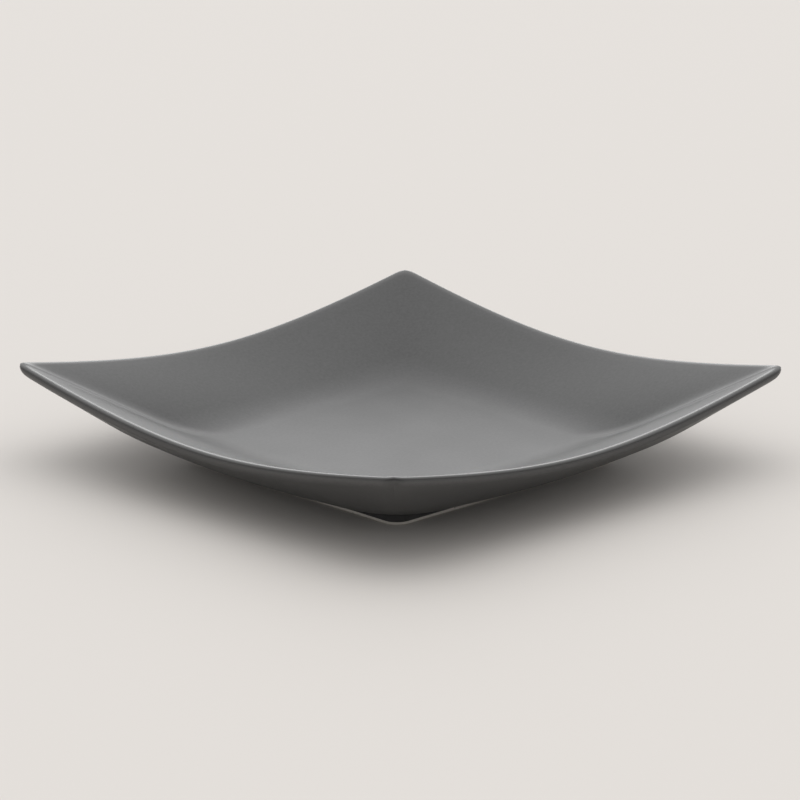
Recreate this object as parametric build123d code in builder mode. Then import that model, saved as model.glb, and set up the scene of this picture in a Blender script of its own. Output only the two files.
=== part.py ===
"""Square dinner plate with four raised corners, in glazed stoneware.

The plate stands on a square foot ring. The origin is the middle of the ring's bearing
face, +Z is up, and the sides run along X and Y. All sizes are in millimetres.
"""

import os
from math import atan2, cos, degrees, radians, sin, sqrt

from build123d import *

# Rim: a square seen from above, and from the side a curve that dips between the tips
side = 254.0
tip_radius = 6.5
tip_height = 48.4
rim_dip = 15.6
bow_reach = 94.0
rim_thickness = 5.0

# Eating face: a flat floor and a soft bend into four walls that are straight in section
floor_side = 143.0
floor_height = 11.6
floor_corner = 9.0
floor_bend = 25.0

# Underside: a flat base and a belly that climbs to the rim's lower edge
belly_side = 172.0
base_height = 3.2
belly_corner = 32.0
belly_bend = 50.0

# Foot ring, and the well inside it under the floor
foot_side = 144.0
foot_corner = 7.5
foot_width = 6.5
foot_rounding = 0.6
bare_height = 1.4
well_corner = 3.5
floor_thickness = 6.0

# Coat of glaze over the fired clay
glaze = 0.4

# The plate has four like sides, and its walls meet on the diagonals
sides = 4
diagonal = 45.0

# Sections drawn on each half of a wall, between its middle and its tip
wall_steps = 4

half_side = side / 2
tip_start = degrees(atan2(half_side - tip_radius, half_side))
slab_side = min(floor_side - floor_bend, belly_side - belly_bend) / 2
section_start = slab_side / 4
well_side = foot_side - 2 * foot_width
well_height = floor_height - floor_thickness

# The clay under the coats: the ring's outer side, the bed of the well, and a height inside the floor
ring_side = foot_side - 2 * glaze
bed_side = well_side + 2 * glaze
bed_height = well_height + glaze
buried_height = floor_height - glaze


def bow(along):
    """Rise of the rim's curve at a distance from the middle of its side."""
    return sqrt(1 + (along / bow_reach) ** 2) - 1


def rim_height(along):
    """Height of the rim at a distance from the middle of its side."""
    return tip_height - rim_dip * (1 - bow(along) / bow(half_side))


def square_reach(ratio, half, radius):
    """Distance out to a rounded square, square to its side, along a ray of this slope."""
    centre = half - radius
    if ratio * half <= centre:
        return half
    reach = centre * (1 + ratio)
    spread = 1 + ratio**2
    return (reach + sqrt(reach**2 - spread * (2 * centre**2 - radius**2))) / spread


def section(angle):
    """Upright section through floor, wall and rim, along a ray from the centre."""
    across = cos(radians(angle))
    along = sin(radians(angle))
    far = max(across, along)
    ratio = min(across, abs(along)) / far
    reach = square_reach(ratio, half_side, tip_radius)
    floor_reach = square_reach(ratio, floor_side / 2, floor_corner)
    belly_reach = square_reach(ratio, belly_side / 2, belly_corner)
    crest = rim_height(reach * ratio)
    lip = crest - rim_thickness

    def on_wall(distance):
        climb = (distance - floor_reach) / (reach - floor_reach)
        return distance / far, floor_height + climb * (crest - floor_height)

    def on_belly(distance):
        climb = (distance - belly_reach) / (reach - belly_reach)
        return distance / far, base_height + climb * (lip - base_height)

    start_top = (section_start / far, floor_height)
    start_base = (section_start / far, base_height)
    floor_edge = ((floor_reach - floor_bend / 2) / far, floor_height)
    wall_foot = on_wall(floor_reach + floor_bend / 2)
    wall_top = on_wall(reach - rim_thickness / 2)
    nose = (reach / far, (crest + lip) / 2)
    belly_top = on_belly(reach - rim_thickness / 2)
    belly_foot = on_belly(belly_reach + belly_bend / 2)
    base_edge = ((belly_reach - belly_bend / 2) / far, base_height)
    with BuildSketch(Plane((0, 0, 0), x_dir=(across, along, 0), z_dir=(along, -across, 0))) as profile:
        with BuildLine():
            Line(start_base, start_top)
            Line(start_top, floor_edge)
            Bezier(floor_edge, on_wall(floor_reach), wall_foot)
            Line(wall_foot, wall_top)
            Bezier(wall_top, on_wall(reach), nose)
            Bezier(nose, on_belly(reach), belly_top)
            Line(belly_top, belly_foot)
            Bezier(belly_foot, on_belly(belly_reach), base_edge)
            Line(base_edge, start_base)
        make_face()
    return profile.sketch.face()


# One wall and one tip, then the outline of floor, walls and rim with the glaze on.
# The sections start inside a flat slab in the middle, which joins them.
with BuildPart() as wall:
    loft([section(tip_start * step / wall_steps) for step in range(-wall_steps, wall_steps + 1)])

with BuildPart() as tip:
    loft([section(angle) for angle in (tip_start, diagonal, 2 * diagonal - tip_start)])

with BuildPart() as outline:
    with BuildSketch(Plane.XY.offset(base_height)):
        Rectangle(slab_side, slab_side)
    extrude(amount=floor_height - base_height)
    with PolarLocations(0, sides):
        add(wall.part)
        add(tip.part)

# Glaze on the eating face and over the top of the rim
with BuildPart() as inside_glaze:
    add(outline.part)
    with Locations((0, 0, -glaze)):
        add(outline.part, mode=Mode.SUBTRACT)

# Glaze under the walls and down the foot's outer side, ending above its bearing face
with BuildPart() as outside_glaze:
    add(outline.part)
    with BuildSketch(Plane.XY.offset(bare_height)):
        RectangleRounded(foot_side, foot_side, foot_corner)
    extrude(amount=buried_height - bare_height)
    with Locations((0, 0, glaze)):
        add(outline.part, mode=Mode.SUBTRACT)
    with BuildSketch():
        RectangleRounded(ring_side, ring_side, foot_corner - glaze)
    extrude(amount=buried_height, mode=Mode.SUBTRACT)
    add(inside_glaze.part, mode=Mode.SUBTRACT)

# Fired clay of the floor and walls, flat over the well
with BuildPart() as clay_body:
    add(outline.part)
    add(inside_glaze.part, mode=Mode.SUBTRACT)
    add(outside_glaze.part, mode=Mode.SUBTRACT)
    with BuildSketch(Plane.XY.offset(bed_height)) as bed:
        RectangleRounded(bed_side, bed_side, well_corner + glaze)
    extrude(bed.sketch, amount=floor_thickness / 2)
    extrude(bed.sketch, amount=-bed_height, mode=Mode.SUBTRACT)

# Foot ring under the body, bare clay on the face that it stands on
with BuildPart() as foot_ring:
    with BuildSketch():
        RectangleRounded(ring_side, ring_side, foot_corner - glaze)
        RectangleRounded(bed_side, bed_side, well_corner + glaze, mode=Mode.SUBTRACT)
    extrude(amount=buried_height)
    fillet(foot_ring.faces().sort_by(Axis.Z)[0].edges(), foot_rounding)
    add(clay_body.part, mode=Mode.SUBTRACT)

# Glaze on the well's ceiling and down the foot's inner side
with BuildPart() as foot_well_glaze:
    with BuildSketch(Plane.XY.offset(bare_height)):
        RectangleRounded(bed_side, bed_side, well_corner + glaze)
    extrude(amount=bed_height - bare_height)
    with BuildSketch():
        RectangleRounded(well_side, well_side, well_corner)
    extrude(amount=well_height, mode=Mode.SUBTRACT)

os.makedirs("parts", exist_ok=True)
pieces = {
    "clay_body": clay_body,
    "foot_ring": foot_ring,
    "inside_glaze": inside_glaze,
    "outside_glaze": outside_glaze,
    "foot_well_glaze": foot_well_glaze,
}
for name, piece in pieces.items():
    piece.part.label = name
    export_step(piece.part, f"parts/{name}.step")
    print(name, f"{piece.part.volume:.0f} cubic mm")
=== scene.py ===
# %% [markdown]
# # A square stoneware plate in charcoal glaze
# The plate is already drawn as solids: fired clay, a foot ring, and three coats of glaze. They come in as a
# fixed frame, in metres, with +Z up and the origin in the middle of the face that the plate stands on. This
# lesson gives each solid a finished mesh and a finish, and lights the plate softly.

# %% Load the solids
from math import atan2, cos, pi, radians, sin, sqrt

import bmesh
import bpy
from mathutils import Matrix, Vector


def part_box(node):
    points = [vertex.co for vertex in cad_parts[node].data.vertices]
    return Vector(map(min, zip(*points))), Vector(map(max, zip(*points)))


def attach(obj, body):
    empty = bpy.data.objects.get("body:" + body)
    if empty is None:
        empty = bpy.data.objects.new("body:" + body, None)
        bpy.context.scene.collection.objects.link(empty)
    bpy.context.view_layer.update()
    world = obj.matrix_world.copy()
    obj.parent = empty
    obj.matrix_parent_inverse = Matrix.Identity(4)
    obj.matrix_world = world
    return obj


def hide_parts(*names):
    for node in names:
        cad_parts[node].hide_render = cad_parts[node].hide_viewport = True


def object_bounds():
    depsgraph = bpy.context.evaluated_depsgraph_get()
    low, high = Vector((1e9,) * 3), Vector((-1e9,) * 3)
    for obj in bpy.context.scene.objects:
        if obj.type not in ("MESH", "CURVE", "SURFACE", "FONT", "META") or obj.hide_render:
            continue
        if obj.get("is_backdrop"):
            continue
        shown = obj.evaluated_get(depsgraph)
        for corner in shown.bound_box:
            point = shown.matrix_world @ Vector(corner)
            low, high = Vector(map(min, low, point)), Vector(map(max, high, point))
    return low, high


mm = 0.001

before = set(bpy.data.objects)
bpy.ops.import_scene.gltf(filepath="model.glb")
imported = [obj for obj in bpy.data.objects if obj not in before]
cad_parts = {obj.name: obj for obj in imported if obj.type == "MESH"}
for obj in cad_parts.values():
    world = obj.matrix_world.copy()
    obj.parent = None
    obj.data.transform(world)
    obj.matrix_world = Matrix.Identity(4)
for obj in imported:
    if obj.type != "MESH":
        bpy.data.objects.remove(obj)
cad_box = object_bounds()
for name in sorted(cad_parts):
    low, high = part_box(name)
    print(name, "spans", [round(x / mm, 1) for x in high - low], "mm")

# %% [markdown]
# ## The camera
# The plate is seen corner first, from a little above its rim and from far away, so its sides hardly
# converge. A long lens at that distance gives the same flat look. The camera is aimed a little under the
# rim, which lifts the plate in the picture without shifting the lens.

# %% Camera
camera_turn = radians(-44.15)
camera_elevation = radians(15.71)
camera_distance = 1.966
rim_level = 0.0475
aim_drop = 0.0180
lens_mm = 190.5
far_clip = 50.0

toward_camera = Vector((sin(camera_turn) * cos(camera_elevation), -cos(camera_turn) * cos(camera_elevation),
                        sin(camera_elevation)))
camera_place = Vector((0, 0, rim_level)) + camera_distance * toward_camera
aim = Vector((0, 0, rim_level - aim_drop))

bpy.ops.object.select_all(action="DESELECT")
bpy.ops.object.camera_add(location=camera_place)
camera = bpy.context.object
camera.name = "photo_camera"
camera.rotation_euler = (aim - camera_place).to_track_quat("-Z", "Y").to_euler()
camera.data.lens = lens_mm
camera.data.clip_end = far_clip
bpy.context.scene.camera = camera
print("camera at", [round(x, 3) for x in camera_place])

# %% [markdown]
# ## The plate's section
# Cut the plate along a ray from its centre and the cut has a flat floor, a soft bend, a straight wall, a
# round rim, and a belly that comes back down to the foot. Only the reach and the rim's height change from
# ray to ray: the rim dips between two tips. So one section with a few sizes describes the plate all the way
# round. A ray is named by its ratio, which is 0 in the middle of a side and 1 on the diagonal.

# %% Sizes of the section
half_side = cad_box[1].x
tip_radius = 6.5 * mm
tip_height = 48.4 * mm
rim_dip = 15.6 * mm
bow_reach = 94.0 * mm
rim_thickness = 5.0 * mm
rim_roll = 4.5 * mm

floor_half = 71.5 * mm
floor_corner = 9.0 * mm
floor_bend = 25.0 * mm
belly_half = 86.0 * mm
belly_corner = 32.0 * mm
belly_bend = 50.0 * mm
base_height = 3.2 * mm

coat = 0.4 * mm
foot_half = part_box("foot_ring")[1].x + coat
foot_corner = 7.5 * mm
well_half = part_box("foot_well_glaze")[1].x - coat
well_corner = 3.5 * mm
well_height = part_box("foot_well_glaze")[1].z - coat
bare_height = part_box("foot_well_glaze")[0].z
floor_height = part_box("inside_glaze")[0].z + coat
print("foot", round(2 * foot_half / mm, 2), "mm wide, floor at", round(floor_height / mm, 2), "mm")


# %% Curves of the section
def square_reach(ratio, half, radius):
    """Distance out to a rounded square, square to its side, along the ray of this ratio."""
    centre = half - radius
    if ratio * half <= centre:
        return half
    reach = centre * (1 + ratio)
    spread = 1 + ratio**2
    return (reach + sqrt(reach**2 - spread * (2 * centre**2 - radius**2))) / spread


def bow(along):
    """Rise of the rim's curve at a distance from the middle of its side."""
    return sqrt(1 + (along / bow_reach) ** 2) - 1


def curve(start, pull, end, share):
    """Point on a curve from start to end that leans towards the pull point."""
    back = 1 - share
    return tuple(back**2 * s + 2 * back * share * p + share**2 * e for s, p, e in zip(start, pull, end))


# %% Section along one ray
class Section:
    """The plate cut along one ray, with its surface set in by a given depth."""

    def __init__(self, ratio, inset=0.0):
        self.inset = inset
        self.reach = square_reach(ratio, half_side, tip_radius)
        self.floor_reach = square_reach(ratio, floor_half, floor_corner)
        self.belly_reach = square_reach(ratio, belly_half, belly_corner)
        self.crest = tip_height - rim_dip * (1 - bow(self.reach * ratio) / bow(half_side))
        self.lip = self.crest - rim_thickness

    def climb(self, distance, turn, bend, low, high):
        """Height of a flat face that bends up into a straight slope at its turn."""
        slope = (high - low) / (self.reach - turn)
        past = min(max(distance - turn + bend / 2, 0), bend)
        return low + slope * (past**2 / (2 * bend) + max(distance - turn - bend / 2, 0))

    def top(self, distance):
        """Point on the eating face."""
        height = self.climb(distance, self.floor_reach, floor_bend, floor_height, self.crest)
        return distance, height - self.inset

    def under(self, distance):
        """Point on the belly."""
        height = self.climb(distance, self.belly_reach, belly_bend, base_height, self.lip)
        return distance, height + self.inset

    def rim(self, share):
        """Point over the rim, from the top of the wall round the nose to the top of the belly."""
        edge = self.reach - self.inset
        wall_end = self.reach - rim_roll
        belly_end = self.reach - rim_thickness / 2
        nose = (edge, (self.crest + self.lip) / 2)
        if share < 0.5:
            return curve(self.top(wall_end), (edge, self.top(self.reach)[1]), nose, 2 * share)
        return curve(nose, (edge, self.under(self.reach)[1]), self.under(belly_end), 2 * share - 1)


for ratio in (0, 1):
    cut = Section(ratio)
    print("ratio", ratio, "reach", round(cut.reach / mm, 2), "crest", round(cut.crest / mm, 2), "mm")

# %% [markdown]
# ## Ring by ring
# A modeller would make such a dish from a flat grid: take its outer edge, extrude it a little way out and
# up, and go on, ring after ring, over the rim and back underneath. The pieces below are made in that way.
# Each new ring is extruded from the last one, and its points then move out along their rays to their places
# on the section. The rays are crowded towards the diagonals, which gives the four small tips enough points
# to look round.

# %% Rays
rays_on_a_side = 56


def crowd(share):
    """Moves a place on a side, from -1 to 1, nearer to the tips."""
    return sin(pi / 2 * share)


def ray_of(point):
    """The direction of the side that a point belongs to, and the slope of its ray along that side."""
    quarter = round(atan2(point.y, point.x) / (pi / 2)) * pi / 2
    across = point.x * cos(quarter) + point.y * sin(quarter)
    along = point.y * cos(quarter) - point.x * sin(quarter)
    return quarter, along / across


def on_ray(quarter, slope, distance, height):
    """A point at a distance out from the middle, square to the side, on the ray of that slope."""
    along = distance * slope
    return Vector((distance * cos(quarter) - along * sin(quarter),
                   distance * sin(quarter) + along * cos(quarter), height))


tip_gap = half_side * (1 - crowd(1 - 2 / rays_on_a_side))
print(4 * rays_on_a_side, "rays, the nearest to a tip", round(tip_gap / mm, 2), "mm off")


# %% Extruding and closing
ratio_digits = 6
smooth_under = radians(40)


def extrude_rings(piece, section_of):
    """Extrudes the selected ring through every later point of the section."""
    sections = {}
    for step in range(1, len(section_of(0))):
        bpy.ops.mesh.extrude_edges_indiv()
        mesh = bmesh.from_edit_mesh(piece.data)
        for vertex in [v for v in mesh.verts if v.select]:
            quarter, slope = ray_of(vertex.co)
            ratio = round(min(abs(slope), 1), ratio_digits)
            if ratio not in sections:
                sections[ratio] = section_of(ratio)
            vertex.co = on_ray(quarter, slope, *sections[ratio][step])
        bmesh.update_edit_mesh(piece.data)


def close_up(piece, name):
    """Turns the faces outwards, shades them smooth between real edges, and puts the piece on its body."""
    bpy.ops.mesh.select_all(action="SELECT")
    bpy.ops.mesh.normals_make_consistent(inside=False)
    bpy.ops.object.mode_set(mode="OBJECT")
    bpy.ops.object.shade_smooth_by_angle(angle=smooth_under)
    piece.name = name
    piece.data.name = name
    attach(piece, "root")
    print(name, len(piece.data.vertices), "points,", len(piece.data.polygons), "faces")
    return piece


# %% Dishes and hoops
merge_within = 0.001 * mm


def make_dish(name, section_of):
    """A closed shell that starts as a flat grid in the middle and comes back under it."""
    start, level = section_of(0)[0]
    bpy.ops.object.select_all(action="DESELECT")
    cells = {"x_subdivisions": rays_on_a_side, "y_subdivisions": rays_on_a_side}
    bpy.ops.mesh.primitive_grid_add(size=2 * start, **cells)
    piece = bpy.context.object
    bpy.ops.object.mode_set(mode="EDIT")
    bpy.ops.mesh.select_mode(type="EDGE")
    mesh = bmesh.from_edit_mesh(piece.data)
    for vertex in mesh.verts:
        vertex.co = (start * crowd(vertex.co.x / start), start * crowd(vertex.co.y / start), level)
    bmesh.update_edit_mesh(piece.data)
    bpy.ops.mesh.select_all(action="SELECT")
    bpy.ops.mesh.region_to_loop()
    extrude_rings(piece, section_of)
    bpy.ops.mesh.edge_face_add()
    return close_up(piece, name)


def make_hoop(name, section_of):
    """A closed ring whose section ends where it starts."""
    bpy.ops.object.select_all(action="DESELECT")
    bpy.ops.mesh.primitive_circle_add(vertices=4 * rays_on_a_side, radius=half_side)
    piece = bpy.context.object
    bpy.ops.object.mode_set(mode="EDIT")
    bpy.ops.mesh.select_mode(type="EDGE")
    mesh = bmesh.from_edit_mesh(piece.data)
    for vertex in mesh.verts:
        quarter, slope = ray_of(vertex.co)
        slope = crowd(atan2(slope, 1) / (pi / 4))
        vertex.co = on_ray(quarter, slope, *section_of(min(abs(slope), 1))[0])
    bmesh.update_edit_mesh(piece.data)
    bpy.ops.mesh.select_all(action="SELECT")
    extrude_rings(piece, section_of)
    bpy.ops.mesh.select_all(action="SELECT")
    bpy.ops.mesh.remove_doubles(threshold=merge_within)
    return close_up(piece, name)


# %% [markdown]
# ## Glaze on the eating face
# This coat shows most. It covers the floor, climbs the walls and wraps the rim, and it is a shell as thick
# as glaze. A Solidify modifier could give the thickness, but it would also push the rim out past the
# solids. So the section goes over the rim and comes back under the surface, and the last ring is filled. A
# plate is dipped one side at a time, so two coats meet just under the round of the rim. Each ends in a soft
# edge there, and between them runs a fine groove, which shows as a dark line.

# %% Inside glaze
grid_half = 30.0 * mm
lap = 0.48
lap_edge = 0.07
lap_depth = 0.2 * mm


def run(start, end, count):
    """Evenly spaced values after start, up to end."""
    return [start + (end - start) * step / count for step in range(1, count + 1)]


def lap_round(ratio, side):
    """The soft edge of a coat, from its surface down into the groove, above (-1) or below (1) the lap."""
    outer = Section(ratio)
    bottom = Section(ratio, lap_depth).rim(lap)
    return [curve(outer.rim(lap + side * lap_edge), outer.rim(lap), bottom, share) for share in run(0, 1, 5)]


def inside_section(ratio):
    outer = Section(ratio)
    inner = Section(ratio, coat)
    bend_start = outer.floor_reach - floor_bend / 2
    bend_end = outer.floor_reach + floor_bend / 2
    wall_end = outer.reach - rim_roll
    points = [outer.top(grid_half)]
    points += [outer.top(d) for d in run(grid_half, bend_start, 4)]
    points += [outer.top(d) for d in run(bend_start, bend_end, 14)]
    points += [outer.top(d) for d in run(bend_end, wall_end, 8)]
    points += [outer.rim(share) for share in run(0, lap - lap_edge, 16)]
    points += lap_round(ratio, -1)
    points += [inner.rim(lap)]
    points += [inner.rim(share) for share in run(lap, 0, 9)]
    points += [inner.top(d) for d in run(wall_end, bend_end, 2)]
    points += [inner.top(d) for d in run(bend_end, bend_start, 6)]
    points += [inner.top(grid_half)]
    return points


inside_glaze = make_dish("glazed_eating_face", inside_section)
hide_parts("inside_glaze")

# %% [markdown]
# ## Glaze under the walls
# The same glaze runs down the belly to the foot. It pools a little in the joint between belly and foot, and
# it is wiped off just above the face that the plate stands on, where it ends in a small round bead. It has
# no middle, so it starts as a circle instead of a grid, and its last ring is merged with its first.

# %% Outside glaze
pool = 1.2 * mm
bead = 0.3 * mm


def outside_section(ratio):
    outer = Section(ratio)
    inner = Section(ratio, coat)
    belly_end = outer.reach - rim_thickness / 2
    side = square_reach(ratio, foot_half, foot_corner)
    ring = square_reach(ratio, foot_half - coat, foot_corner - coat)
    joint = outer.under(side)[1]
    pool_end = (side, joint - pool)
    bead_start = (side, bare_height + bead)
    points = [inner.rim(lap)]
    points += lap_round(ratio, 1)[::-1]
    points += [outer.rim(share) for share in run(lap + lap_edge, 1, 10)]
    points += [outer.under(d) for d in run(belly_end, side + pool, 26)]
    points += [curve(outer.under(side + pool), (side, joint), pool_end, s) for s in run(0, 1, 5)]
    points += [(side, height) for height in run(pool_end[1], bead_start[1], 2)]
    points += [curve(bead_start, (side, bare_height), (ring, bare_height), s) for s in run(0, 1, 4)]
    points += [inner.under(ring)]
    points += [inner.under(d) for d in run(ring, belly_end, 6)]
    points += [inner.rim(share) for share in run(1, lap, 4)]
    return points


outside_glaze = make_hoop("glaze_under_the_walls", outside_section)
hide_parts("outside_glaze")

# %% [markdown]
# ## Glaze inside the foot
# Turn the plate over and there is a shallow square well inside the foot ring, glazed like the rest. Its
# ceiling meets the ring in a small hollow round, because glaze gathers there.

# %% Foot well glaze
well_round = 1.5 * mm


def well_section(ratio):
    wall = square_reach(ratio, well_half, well_corner)
    bed = square_reach(ratio, well_half + coat, well_corner + coat)
    ceiling = well_height
    points = [(grid_half, ceiling)]
    points += [(d, ceiling) for d in run(grid_half, wall - well_round, 3)]
    round_start = (wall - well_round, ceiling)
    round_end = (wall, ceiling - well_round)
    bead_start = (wall, bare_height + bead)
    points += [curve(round_start, (wall, ceiling), round_end, s) for s in run(0, 1, 6)]
    points += [(wall, height) for height in run(round_end[1], bead_start[1], 2)]
    points += [curve(bead_start, (wall, bare_height), (bed, bare_height), s) for s in run(0, 1, 4)]
    points += [(bed, ceiling + coat), (grid_half, ceiling + coat)]
    return points


well_glaze = make_dish("glaze_in_the_foot", well_section)
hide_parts("foot_well_glaze")

# %% [markdown]
# ## Foot ring
# The ring is the only clay that shows. Its bearing face is ground flat, with both edges rounded off so that
# it doesn't scratch a table. Its top follows the belly that it carries.

# %% Foot ring
foot_rounding = 0.6 * mm


def ring_section(ratio):
    seat = Section(ratio)
    outer = square_reach(ratio, foot_half - coat, foot_corner - coat)
    inner = square_reach(ratio, well_half + coat, well_corner + coat)
    points = [seat.under(outer), (outer, foot_rounding)]
    points += [curve((outer, foot_rounding), (outer, 0), (outer - foot_rounding, 0), s) for s in run(0, 1, 5)]
    points += [(d, 0) for d in run(outer - foot_rounding, inner + foot_rounding, 3)]
    points += [curve((inner + foot_rounding, 0), (inner, 0), (inner, foot_rounding), s) for s in run(0, 1, 5)]
    points += [seat.under(inner)]
    points += [seat.under(d) for d in run(inner, outer, 3)]
    return points


foot_ring = make_hoop("bare_foot_ring", ring_section)
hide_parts("foot_ring")

# %% [markdown]
# ## Clay body
# The fired clay under the glaze doesn't show, but a part has to be whole when someone cuts it open or
# prints it. Its section is the plate's own, set in by the thickness of the coat, with a flat bed over the
# well.

# %% Clay body
def body_section(ratio):
    skin = Section(ratio)
    clay = Section(ratio, coat)
    bend_start = clay.floor_reach - floor_bend / 2
    bend_end = clay.floor_reach + floor_bend / 2
    wall_end = clay.reach - rim_roll
    belly_end = clay.reach - rim_thickness / 2
    ring = square_reach(ratio, foot_half - coat, foot_corner - coat)
    bed = square_reach(ratio, well_half + coat, well_corner + coat)
    bed_height = well_height + coat
    points = [clay.top(grid_half)]
    points += [clay.top(d) for d in run(grid_half, bend_start, 2)]
    points += [clay.top(d) for d in run(bend_start, bend_end, 6)]
    points += [clay.top(d) for d in run(bend_end, wall_end, 2)]
    points += [clay.rim(share) for share in run(0, 1, 10)]
    points += [clay.under(d) for d in run(belly_end, ring, 10)]
    points += [skin.under(d) for d in (ring, bed)]
    points += [(bed, bed_height), (grid_half, bed_height)]
    return points


clay_body = make_dish("fired_clay_body", body_section)
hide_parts("clay_body")

# %% [markdown]
# ## Where the rim is painted lighter and the lap darker
# The rim's colour is painted lighter, a painted highlight that brightens the line of light along it. Along
# the lap the colour is painted darker, painted shade that deepens the dark line there. The finish has to know
# how near a point is to the rim and to the lap, so each point of the two coats stores both as attributes,
# which a material can read.

# %% Rim and lap attributes
edge_of_rim = 0.25
rim_fade = 4.0 * mm
lap_shade_fade = 1.0 * mm


def nearness(point, place, fade):
    """1 at a place of the section on the point's own ray, falling to 0 a short way off."""
    quarter, slope = ray_of(point)
    out = point.x * cos(quarter) + point.y * sin(quarter)
    distance, height = place(Section(min(abs(slope), 1)))
    return max(0.0, 1 - sqrt((out - distance) ** 2 + (point.z - height) ** 2) / fade)


def store_nearness(piece, name, place, fade):
    """Stores the nearness of each point, and prints how many points are near."""
    near = [0.0 if v.co.xy.length < floor_half else nearness(v.co, place, fade) for v in piece.data.vertices]
    attribute = piece.data.attributes.new(name, "FLOAT", "POINT")
    attribute.data.foreach_set("value", near)
    print(piece.name, "has", sum(value > 0 for value in near), "points with", name)


for piece in (inside_glaze, outside_glaze):
    store_nearness(piece, "rim_nearness", lambda cut: cut.rim(edge_of_rim), rim_fade)
    # Marks the lap, where the colour is painted darker as painted shade
    store_nearness(piece, "lap_shade_nearness", lambda cut: cut.rim(lap), lap_shade_fade)

# %% [markdown]
# ## Two effects for every finish
# Glaze and bare clay both vary a little from place to place, and both have specks. Each effect is built
# once as a node group. A material feeds it Object coordinates, which are in metres here, and chooses its
# own scales.

# %% Variation
def start_group(name, inputs, outputs):
    """A shader node group with its sockets, and its input and output nodes."""
    group = bpy.data.node_groups.new(name, "ShaderNodeTree")
    for socket, kind in inputs:
        group.interface.new_socket(socket, in_out="INPUT", socket_type=kind)
    for socket in outputs:
        group.interface.new_socket(socket, in_out="OUTPUT", socket_type="NodeSocketFloat")
    return group, group.nodes.new("NodeGroupInput"), group.nodes.new("NodeGroupOutput")


def variation_group():
    """Broad blotches and a fine grain, each from 0 to 1."""
    inputs = [("Place", "NodeSocketVector"), ("Blotch Scale", "NodeSocketFloat"),
              ("Grain Scale", "NodeSocketFloat")]
    group, given, put_out = start_group("uneven_firing", inputs, ["Blotches", "Grain"])
    for scale, output, detail in (("Blotch Scale", "Blotches", 3.0), ("Grain Scale", "Grain", 2.0)):
        noise = group.nodes.new("ShaderNodeTexNoise")
        noise.inputs["Detail"].default_value = detail
        group.links.new(given.outputs["Place"], noise.inputs["Vector"])
        group.links.new(given.outputs[scale], noise.inputs["Scale"])
        group.links.new(noise.outputs["Fac"], put_out.inputs[output])
    return group


uneven_firing = variation_group()
print("made the group", uneven_firing.name)


# %% Specks
def combine(tree, operation, *values):
    """The result of a Math node, whose values are sockets or plain numbers."""
    node = tree.nodes.new("ShaderNodeMath")
    node.operation = operation
    for socket, value in zip(node.inputs, values):
        if isinstance(value, float):
            socket.default_value = value
        else:
            tree.links.new(value, socket)
    return node.outputs[0]


def speck_group():
    """A mask of small round specks in some of the cells of a loose pattern."""
    inputs = [("Place", "NodeSocketVector"), ("Scale", "NodeSocketFloat"), ("Share", "NodeSocketFloat"),
              ("Size", "NodeSocketFloat")]
    group, given, put_out = start_group("iron_specks", inputs, ["Specks"])
    cells = group.nodes.new("ShaderNodeTexVoronoi")
    group.links.new(given.outputs["Place"], cells.inputs["Vector"])
    group.links.new(given.outputs["Scale"], cells.inputs["Scale"])
    split = group.nodes.new("ShaderNodeSeparateColor")
    group.links.new(cells.outputs["Color"], split.inputs["Color"])
    chosen = combine(group, "LESS_THAN", split.outputs["Red"], given.outputs["Share"])
    near = group.nodes.new("ShaderNodeMapRange")
    near.interpolation_type = "SMOOTHSTEP"
    near.inputs["From Min"].default_value = 0.0
    near.inputs["To Min"].default_value = 1.0
    near.inputs["To Max"].default_value = 0.0
    group.links.new(cells.outputs["Distance"], near.inputs["Value"])
    group.links.new(given.outputs["Size"], near.inputs["From Max"])
    specks = combine(group, "MULTIPLY", chosen, near.outputs["Result"])
    group.links.new(specks, put_out.inputs["Specks"])
    return group


iron_specks = speck_group()
print("made the group", iron_specks.name)

# %% [markdown]
# ## Helpers for the finishes
# A finish is a network of nodes. Each helper adds one kind of node, sets or links its inputs, and returns
# its output, so that a finish further down reads as a list of steps.

# %% Starting a finish
def start_material(name):
    """A material, its node tree and its Principled shader."""
    material = bpy.data.materials.new(name)
    material.use_nodes = True
    tree = material.node_tree
    shader = next(node for node in tree.nodes if node.type == "BSDF_PRINCIPLED")
    return material, tree, shader


def object_place(tree):
    """The place of a point in its piece's own coordinates."""
    return tree.nodes.new("ShaderNodeTexCoord").outputs["Object"]


def use_group(tree, group, place, **values):
    """A group's node, fed with the place and with this material's values."""
    node = tree.nodes.new("ShaderNodeGroup")
    node.node_tree = group
    tree.links.new(place, node.inputs["Place"])
    for socket, value in values.items():
        node.inputs[socket.replace("_", " ")].default_value = value
    return node.outputs


def attribute_of(tree, name):
    """A value that each point of the piece stores."""
    node = tree.nodes.new("ShaderNodeAttribute")
    node.attribute_name = name
    return node.outputs["Fac"]


# %% Values, colours and relief
def remap(tree, value, low, high):
    """Stretches a value from 0 to 1 over another range."""
    node = tree.nodes.new("ShaderNodeMapRange")
    node.inputs["To Min"].default_value = low
    node.inputs["To Max"].default_value = high
    tree.links.new(value, node.inputs["Value"])
    return node.outputs["Result"]


def blend(tree, factor, start, end):
    """A mix of two colours, each a socket or a plain colour."""
    node = tree.nodes.new("ShaderNodeMix")
    node.data_type = "RGBA"
    tree.links.new(factor, node.inputs["Factor"])
    sockets = [socket for socket in node.inputs if socket.type == "RGBA"]
    for socket, colour in zip(sockets, (start, end)):
        if isinstance(colour, tuple):
            socket.default_value = (*colour, 1)
        else:
            tree.links.new(colour, socket)
    return next(socket for socket in node.outputs if socket.type == "RGBA")


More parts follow.
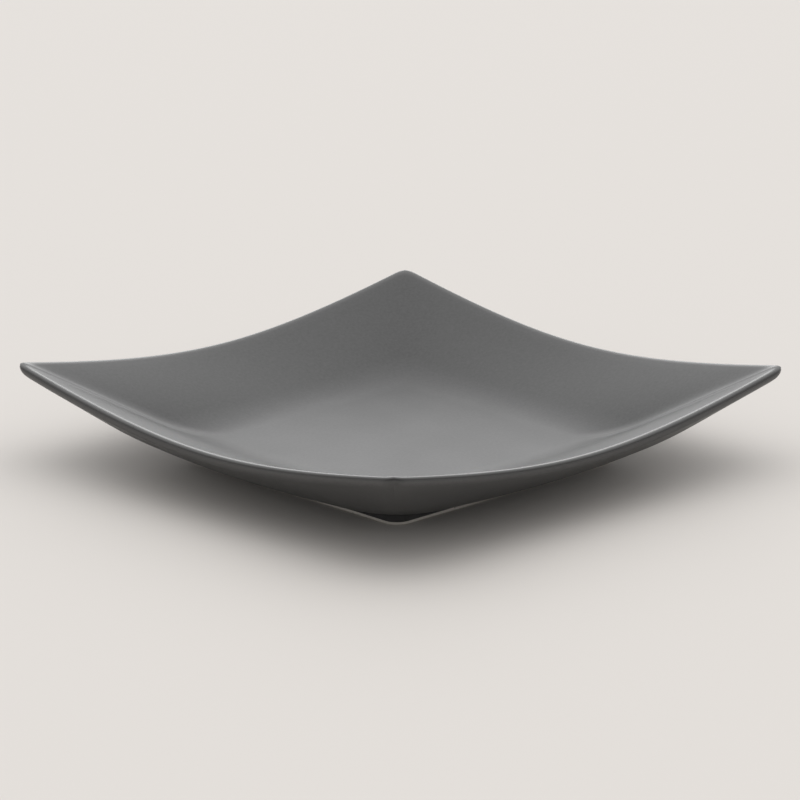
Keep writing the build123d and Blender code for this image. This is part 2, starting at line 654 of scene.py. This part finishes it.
def add_bump(tree, shader, height, strength, depth):
    """A fine relief on the shader's normal."""
    node = tree.nodes.new("ShaderNodeBump")
    node.inputs["Strength"].default_value = strength
    node.inputs["Distance"].default_value = depth
    tree.links.new(height, node.inputs["Height"])
    tree.links.new(node.outputs["Normal"], shader.inputs["Normal"])


def paint(material, *pieces):
    """Gives the pieces one material."""
    for piece in pieces:
        piece.data.materials.clear()
        piece.data.materials.append(material)
    print(material.name, "on", [piece.name for piece in pieces])

# %% [markdown]
# ## Charcoal glaze
# The glaze is a satin grey without a tint, with a fine mottle that shows only close up and broad clouds
# that hardly show at all. The rim has a painted highlight, a lighter colour that brightens its line of light,
# and a few pinholes, and the lap under it has painted shade, a darker colour that deepens the dark line
# there.
# Satin comes from a middling roughness, and the clouds move it a little, so that reflections aren't perfectly
# even. The rim is smoother, which keeps the line of light along it narrow.

# %% Charcoal glaze
charcoal = (0.018, 0.018, 0.018)
pale_cloud = (0.024, 0.024, 0.024)
mottle = (0.055, 0.055, 0.055)
# Painted highlight: a lighter colour on the rim that brightens the line of light along it
painted_rim_highlight = (0.085, 0.084, 0.083)
pinhole = (0.020, 0.020, 0.020)
rim_highlight_share = (0.5, 1.0)
satin_range = (0.34, 0.42)
rim_polish = 0.5
wave_strength = 0.3
wave_depth = 0.5 * mm


def charcoal_glaze():
    material, tree, shader = start_material("charcoal_glaze")
    place = object_place(tree)
    firing = use_group(tree, uneven_firing, place, Blotch_Scale=28.0, Grain_Scale=700.0)
    pinholes = use_group(tree, iron_specks, place, Scale=260.0, Share=0.16, Size=0.16)
    rim = attribute_of(tree, "rim_nearness")
    painted_lap_shade = attribute_of(tree, "lap_shade_nearness")
    cloud = blend(tree, firing["Blotches"], charcoal, pale_cloud)
    mottled = blend(tree, firing["Grain"], cloud, mottle)
    # Painted highlight: the rim's colour is lighter where the line of light runs along it
    rim_highlight_mask = combine(tree, "MULTIPLY", rim, remap(tree, firing["Blotches"], *rim_highlight_share))
    rim_highlighted = blend(tree, rim_highlight_mask, mottled, painted_rim_highlight)
    pinholed = blend(tree, combine(tree, "MULTIPLY", pinholes["Specks"], rim), rim_highlighted, pinhole)
    # Painted shade: the colour darkens along the lap, which deepens the dark line under the rim
    lap_shaded = blend(tree, painted_lap_shade, pinholed, charcoal)
    tree.links.new(lap_shaded, shader.inputs["Base Color"])
    satin = remap(tree, firing["Blotches"], *satin_range)
    roughness = combine(tree, "MULTIPLY", satin, remap(tree, rim, 1.0, rim_polish))
    tree.links.new(roughness, shader.inputs["Roughness"])
    add_bump(tree, shader, firing["Blotches"], wave_strength, wave_depth)
    return material


paint(charcoal_glaze(), inside_glaze, outside_glaze, well_glaze)

# %% [markdown]
# ## Bare stoneware
# Unglazed stoneware is pale, dry and a little sandy, with dark iron specks. It shows on the face that the
# plate stands on, and as a thin line along the bottom of the foot.

# %% Bare stoneware
dark_clay = (0.50, 0.47, 0.43)
light_clay = (0.60, 0.57, 0.52)
sand = (0.66, 0.63, 0.58)
iron = (0.12, 0.10, 0.08)
most_sand = 0.6
dry_range = (0.75, 0.95)
sand_strength = 0.4
sand_depth = 0.1 * mm


def bare_stoneware():
    material, tree, shader = start_material("bare_stoneware")
    place = object_place(tree)
    firing = use_group(tree, uneven_firing, place, Blotch_Scale=60.0, Grain_Scale=1800.0)
    specks = use_group(tree, iron_specks, place, Scale=420.0, Share=0.35, Size=0.3)
    clay = blend(tree, firing["Blotches"], dark_clay, light_clay)
    sandy = blend(tree, remap(tree, firing["Grain"], 0.0, most_sand), clay, sand)
    speckled = blend(tree, specks["Specks"], sandy, iron)
    tree.links.new(speckled, shader.inputs["Base Color"])
    tree.links.new(remap(tree, firing["Grain"], *dry_range), shader.inputs["Roughness"])
    add_bump(tree, shader, firing["Grain"], sand_strength, sand_depth)
    return material


paint(bare_stoneware(), foot_ring, clay_body)

# %% [markdown]
# ## Floor and light
# A plain pale floor carries the soft shadow under the plate, and throws some light back up at its
# underside. The light is a white sky, brightest overhead as under thin cloud, and dim low down on the
# camera's side, which keeps the underside in front dark. Low down behind the plate is a soft glow. Satin
# glaze mirrors it: the plate's floor takes its shine from the upper part of the glow, and the top of the
# rim gets a bright line from the lower part. Lamps could do the same, but light that comes from the sky
# alone has no hard edges and renders with less grain.

# %% Floor
pale_beige = (0.62, 0.59, 0.56)
floor_roughness = 0.8
floor_side = 80.0


def pale_floor():
    material, _, shader = start_material("pale_floor")
    shader.inputs["Base Color"].default_value = (*pale_beige, 1)
    shader.inputs["Roughness"].default_value = floor_roughness
    return material


bpy.ops.object.select_all(action="DESELECT")
bpy.ops.mesh.primitive_plane_add(size=floor_side)
floor = bpy.context.object
floor.name = "plain_floor"
floor.data.materials.append(pale_floor())
floor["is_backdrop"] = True
print("floor", [round(x) for x in floor.dimensions], "m")

# %% Levels of the sky
zenith_level = 1.56
horizon_share = 0.60
front_share = 0.45
front_edge = -0.85
glow_half_width = radians(22)
glow_fade = radians(14)

# Each band has its lower and upper angle over the horizon, in degrees, and its brightness
glow_bands = ((1.5, 10.0, 0.9), (10.0, 24.0, 1.05))
band_fade = 2.0


def swell(tree, value, start, end, low=0.0):
    """Climbs softly from low to 1 while a value goes from start to end, upwards or downwards."""
    node = tree.nodes.new("ShaderNodeMapRange")
    node.interpolation_type = "SMOOTHSTEP"
    node.inputs["From Min"].default_value = start
    node.inputs["From Max"].default_value = end
    node.inputs["To Min"].default_value = low
    tree.links.new(value, node.inputs["Value"])
    return node.outputs["Result"]


def band(tree, height, bottom, top):
    """1 between two angles over the horizon, in degrees, with soft edges."""
    sines = [sin(radians(angle)) for angle in (bottom, bottom + band_fade, top + band_fade, top)]
    return combine(tree, "MULTIPLY", swell(tree, height, *sines[:2]), swell(tree, height, *sines[2:]))


print("glow up to", max(top for bottom, top, brightness in glow_bands), "degrees over the horizon")

# %% Sky
world = bpy.data.worlds.new("soft_studio")
world.use_nodes = True
bpy.context.scene.world = world
sky = world.node_tree
background = next(node for node in sky.nodes if node.type == "BACKGROUND")
background.inputs["Color"].default_value = (1, 1, 1, 1)
look = sky.nodes.new("ShaderNodeTexCoord").outputs["Generated"]
axes = sky.nodes.new("ShaderNodeSeparateXYZ")
sky.links.new(look, axes.inputs["Vector"])
height = axes.outputs["Z"]
horizon_level = zenith_level * horizon_share
thin_cloud = combine(sky, "MULTIPLY_ADD", height, zenith_level - horizon_level, horizon_level)

away = sky.nodes.new("ShaderNodeVectorMath")
away.operation = "DOT_PRODUCT"
away.inputs[1].default_value = (-sin(camera_turn), cos(camera_turn), 0)
sky.links.new(look, away.inputs[0])
behind = away.outputs["Value"]
level = combine(sky, "MULTIPLY", thin_cloud, swell(sky, behind, front_edge, 0, low=front_share))
sideways = swell(sky, behind, cos(glow_half_width + glow_fade), cos(glow_half_width))
for bottom, top, brightness in glow_bands:
    lit = combine(sky, "MULTIPLY", sideways, band(sky, height, bottom, top))
    level = combine(sky, "MULTIPLY_ADD", lit, brightness, level)
sky.links.new(level, background.inputs["Strength"])
bpy.context.scene.view_settings.view_transform = "Standard"
print("sky up to", zenith_level, "with", len(glow_bands), "bands behind the plate")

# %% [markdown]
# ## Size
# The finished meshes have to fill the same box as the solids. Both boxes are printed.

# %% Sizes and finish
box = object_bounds()
for name, (low, high) in (("solids", cad_box), ("meshes", box)):
    print(name, "span", [round(x / mm, 2) for x in high - low], "mm")
